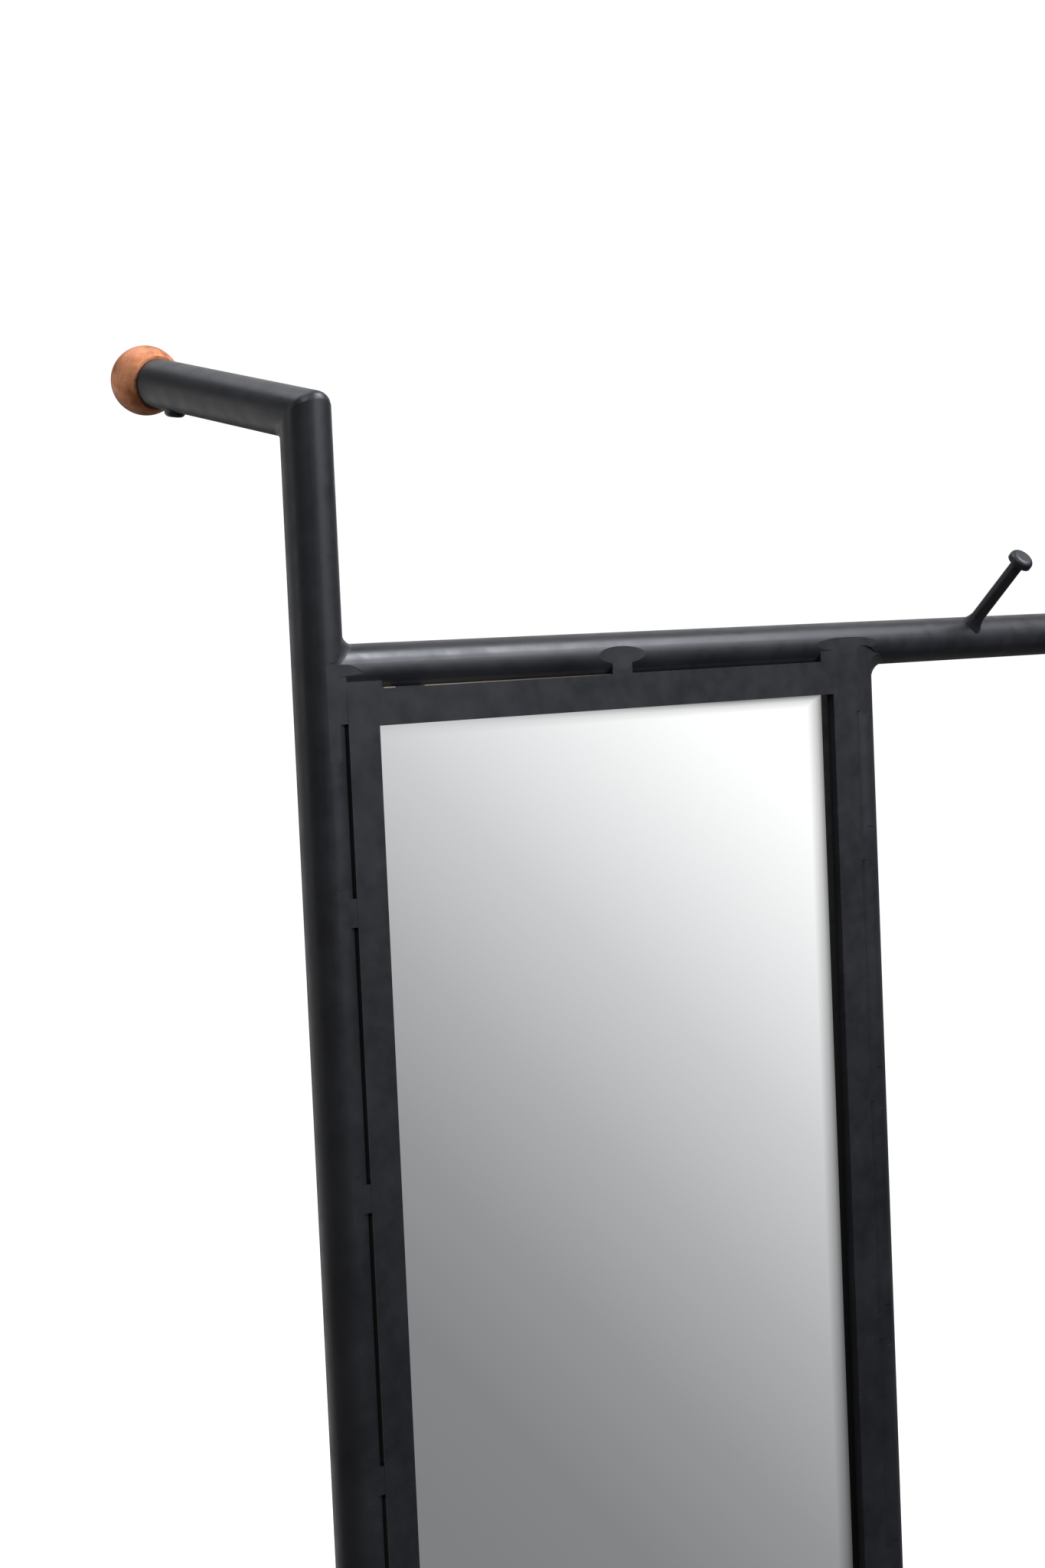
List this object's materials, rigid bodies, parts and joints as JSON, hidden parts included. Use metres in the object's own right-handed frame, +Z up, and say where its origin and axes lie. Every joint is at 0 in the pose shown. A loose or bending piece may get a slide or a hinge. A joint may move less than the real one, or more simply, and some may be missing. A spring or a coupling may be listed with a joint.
{
  "type": "floor mirror with coat rack",
  "caption": "Free-standing floor mirror in a welded round-tube frame with a coat bay beside it, pegs on the top rail and tilted arms with ball ends.",
  "frame": {"origin": "on the floor under the middle of the frame", "axes": "+X along the top rail from the mirror to the coat bay, +Y to the back, +Z up"},
  "size_m": [0.8164, 0.408, 1.7502],
  "materials": {
    "frame_coat": "satin charcoal powder coat",
    "copper_ball": "burnished copper colour, mottled",
    "black_screw": "black oxide",
    "mirror": "silvered float glass",
    "hardboard": "plain hardboard",
    "pad_rubber": "matte black rubber",
    "black_plastic": "fine-grained black plastic"
  },
  "bodies": {
    "root": {"backing_board": "hardboard", "backing_tabs": "frame_coat", "ball_screws": "black_screw", "bottom_left_weld": "frame_coat", "bottom_rail": "frame_coat", "bottom_right_weld": "frame_coat", "bottom_side_weld": "frame_coat", "coat_peg_1": "frame_coat", "coat_peg_2": "frame_coat", "coat_peg_3": "frame_coat", "corner_welds": "frame_coat", "floor_glides": "pad_rubber", "foot_plugs": "black_plastic", "left_arm": "frame_coat", "left_arm_weld": "frame_coat", "left_ball": "copper_ball", "left_foot": "frame_coat", "left_foot_weld": "frame_coat", "left_post": "frame_coat", "left_stitch_welds": "frame_coat", "level_stitch_welds": "frame_coat", "mirror_frame_bottom": "frame_coat", "mirror_frame_left": "frame_coat", "mirror_frame_right": "frame_coat", "mirror_frame_top": "frame_coat", "mirror_glass": "mirror", "mirror_side_tube": "frame_coat", "peg_welds": "frame_coat", "right_arm": "frame_coat", "right_arm_weld": "frame_coat", "right_ball": "copper_ball", "right_foot": "frame_coat", "right_foot_weld": "frame_coat", "right_post": "frame_coat", "right_stitch_welds": "frame_coat", "setting_blocks": "pad_rubber", "top_left_weld": "frame_coat", "top_rail": "frame_coat", "top_right_weld": "frame_coat", "top_side_weld": "frame_coat"}
  },
  "joints": []
}
